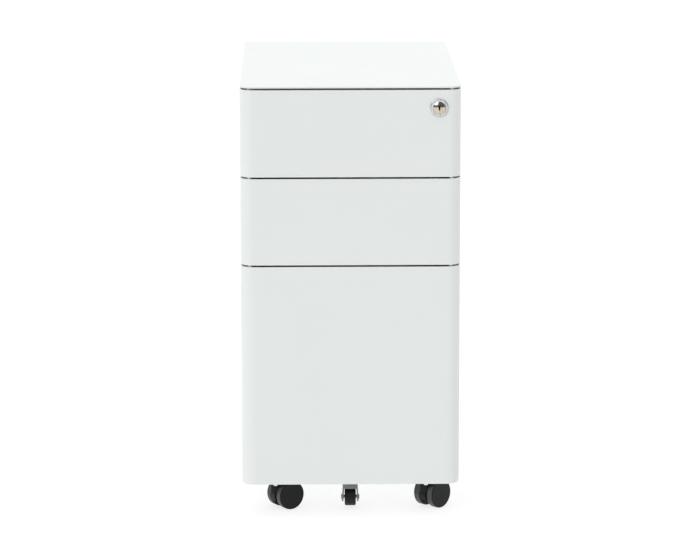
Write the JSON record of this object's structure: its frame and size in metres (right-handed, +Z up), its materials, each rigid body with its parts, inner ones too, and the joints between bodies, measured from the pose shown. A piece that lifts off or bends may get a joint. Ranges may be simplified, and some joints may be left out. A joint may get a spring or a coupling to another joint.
{
  "type": "mobile drawer pedestal",
  "caption": "Slim white steel filing cabinet with two box drawers over a filing drawer, side finger grooves, a shared lock, swivelling castors and an anti-tilt wheel.",
  "frame": {"origin": "middle of the footprint, on the floor under the castor wheels", "axes": "+X to the viewer's right across the drawer fronts, +Y from the fronts to the back, +Z up; the drawers open towards -Y"},
  "size_m": [0.3, 0.5051, 0.6],
  "materials": {
    "white_powder_coat": "fine satin powder coat",
    "galvanised_steel": "mill galvanised",
    "zinc_plated_steel": "bright zinc plate",
    "dark_zinc_steel": "dark zinc plate",
    "brass_plate": "dull yellow zinc",
    "nickel_plate": "polished nickel plate",
    "black_nylon": "moulded nylon, fine spark grain",
    "black_wheel": "moulded nylon, satin"
  },
  "bodies": {
    "carcass": {"top_panel": "white_powder_coat", "left_side_panel": "white_powder_coat", "right_side_panel": "white_powder_coat", "back_panel": "white_powder_coat", "base_panel": "white_powder_coat", "header_rail": "white_powder_coat", "left_front_post": "white_powder_coat", "right_front_post": "white_powder_coat", "rear_posts": "galvanised_steel", "back_rivets": "zinc_plated_steel", "top_slide_outers": "zinc_plated_steel", "middle_slide_outers": "zinc_plated_steel", "file_slide_outers": "zinc_plated_steel", "lock_bar_studs": "zinc_plated_steel", "castor_stems": "zinc_plated_steel", "castor_nuts": "zinc_plated_steel"},
    "top_drawer": {"top_drawer_front": "white_powder_coat", "top_drawer_liner": "white_powder_coat", "top_drawer_tray": "white_powder_coat", "top_slide_inners": "zinc_plated_steel", "top_drawer_catch": "zinc_plated_steel", "top_drawer_screws": "zinc_plated_steel", "lock_barrel": "nickel_plate", "lock_nut": "zinc_plated_steel"},
    "middle_drawer": {"middle_drawer_front": "white_powder_coat", "middle_drawer_liner": "white_powder_coat", "middle_drawer_tray": "white_powder_coat", "middle_slide_inners": "zinc_plated_steel", "middle_drawer_catch": "zinc_plated_steel", "middle_drawer_screws": "zinc_plated_steel"},
    "file_drawer": {"file_drawer_front": "white_powder_coat", "file_drawer_liner": "white_powder_coat", "file_drawer_tray": "white_powder_coat", "file_slide_inners": "zinc_plated_steel", "file_drawer_catch": "zinc_plated_steel", "file_drawer_screws": "zinc_plated_steel", "file_hanging_bars": "zinc_plated_steel", "anti_tilt_fork": "dark_zinc_steel", "anti_tilt_axle": "brass_plate"},
    "file_slide_middle": {"file_slide_middles": "zinc_plated_steel"},
    "anti_tilt_roller": {"anti_tilt_wheel": "black_wheel"},
    "lock_core": {"lock_plug": "nickel_plate", "lock_cam": "zinc_plated_steel"},
    "lock_strip": {"lock_bar": "zinc_plated_steel"},
    "front_left_castor": {"front_left_hood": "black_nylon", "front_left_axle": "zinc_plated_steel"},
    "front_left_roller_a": {"front_left_wheel_a": "black_wheel"},
    "front_left_roller_b": {"front_left_wheel_b": "black_wheel"},
    "front_right_castor": {"front_right_hood": "black_nylon", "front_right_axle": "zinc_plated_steel"},
    "front_right_roller_a": {"front_right_wheel_a": "black_wheel"},
    "front_right_roller_b": {"front_right_wheel_b": "black_wheel"},
    "rear_left_castor": {"rear_left_hood": "black_nylon", "rear_left_axle": "zinc_plated_steel"},
    "rear_left_roller_a": {"rear_left_wheel_a": "black_wheel"},
    "rear_left_roller_b": {"rear_left_wheel_b": "black_wheel"},
    "rear_right_castor": {"rear_right_hood": "black_nylon", "rear_right_axle": "zinc_plated_steel"},
    "rear_right_roller_a": {"rear_right_wheel_a": "black_wheel"},
    "rear_right_roller_b": {"rear_right_wheel_b": "black_wheel"}
  },
  "joints": [
    {"name": "top_drawer_slide", "type": "slide", "parent": "carcass", "child": "top_drawer", "axis": [0, -1, 0], "range_m": [0, 0.3]},
    {"name": "middle_drawer_slide", "type": "slide", "parent": "carcass", "child": "middle_drawer", "axis": [0, -1, 0], "range_m": [0, 0.3]},
    {"name": "file_drawer_slide", "type": "slide", "parent": "carcass", "child": "file_drawer", "axis": [0, -1, 0], "range_m": [0, 0.4]},
    {"name": "file_slide_middle_slide", "type": "slide", "parent": "carcass", "child": "file_slide_middle", "axis": [0, -1, 0], "range_m": [0, 0.2]},
    {"name": "lock_turn", "type": "hinge", "parent": "top_drawer", "child": "lock_core", "pos_m": [0.12, -0.25, 0.571], "axis": [0, -1, 0], "range_deg": [-90, 0]},
    {"name": "lock_bar_drop", "type": "slide", "parent": "carcass", "child": "lock_strip", "axis": [0, 0, 1], "range_m": [-0.01273, 0]},
    {"name": "anti_tilt_roll", "type": "hinge", "parent": "file_drawer", "child": "anti_tilt_roller", "pos_m": [0, -0.199, 0.0155], "axis": [1, 0, 0], "continuous": true},
    {"name": "front_left_swivel", "type": "hinge", "parent": "carcass", "child": "front_left_castor", "pos_m": [-0.104, -0.204, 0.04], "axis": [0, 0, 1], "continuous": true},
    {"name": "front_left_roll_a", "type": "hinge", "parent": "front_left_castor", "child": "front_left_roller_a", "pos_m": [-0.09058, -0.19529, 0.02], "axis": [-0.5446, 0.8387, 0], "continuous": true},
    {"name": "front_left_roll_b", "type": "hinge", "parent": "front_left_castor", "child": "front_left_roller_b", "pos_m": [-0.09058, -0.19529, 0.02], "axis": [-0.5446, 0.8387, 0], "continuous": true},
    {"name": "front_right_swivel", "type": "hinge", "parent": "carcass", "child": "front_right_castor", "pos_m": [0.104, -0.204, 0.04], "axis": [0, 0, 1], "continuous": true},
    {"name": "front_right_roll_a", "type": "hinge", "parent": "front_right_castor", "child": "front_right_roller_a", "pos_m": [0.11511, -0.19249, 0.02], "axis": [-0.7193, 0.6947, 0], "continuous": true},
    {"name": "front_right_roll_b", "type": "hinge", "parent": "front_right_castor", "child": "front_right_roller_b", "pos_m": [0.11511, -0.19249, 0.02], "axis": [-0.7193, 0.6947, 0], "continuous": true},
    {"name": "rear_left_swivel", "type": "hinge", "parent": "carcass", "child": "rear_left_castor", "pos_m": [-0.104, 0.204, 0.04], "axis": [0, 0, 1], "continuous": true},
    {"name": "rear_left_roll_a", "type": "hinge", "parent": "rear_left_castor", "child": "rear_left_roller_a", "pos_m": [-0.09649, 0.21813, 0.02], "axis": [-0.8829, 0.4695, 0], "continuous": true},
    {"name": "rear_left_roll_b", "type": "hinge", "parent": "rear_left_castor", "child": "rear_left_roller_b", "pos_m": [-0.09649, 0.21813, 0.02], "axis": [-0.8829, 0.4695, 0], "continuous": true},
    {"name": "rear_right_swivel", "type": "hinge", "parent": "carcass", "child": "rear_right_castor", "pos_m": [0.104, 0.204, 0.04], "axis": [0, 0, 1], "continuous": true},
    {"name": "rear_right_roll_a", "type": "hinge", "parent": "rear_right_castor", "child": "rear_right_roller_a", "pos_m": [0.11608, 0.2145, 0.02], "axis": [-0.6561, 0.7547, 0], "continuous": true},
    {"name": "rear_right_roll_b", "type": "hinge", "parent": "rear_right_castor", "child": "rear_right_roller_b", "pos_m": [0.11608, 0.2145, 0.02], "axis": [-0.6561, 0.7547, 0], "continuous": true}
  ],
  "couplings": [
    {"joint": "file_slide_middle_slide", "follows": "file_drawer_slide", "ratio": 0.5},
    {"joint": "lock_turn", "follows": "lock_bar_drop", "rad_per_m": 123.41}
  ]
}
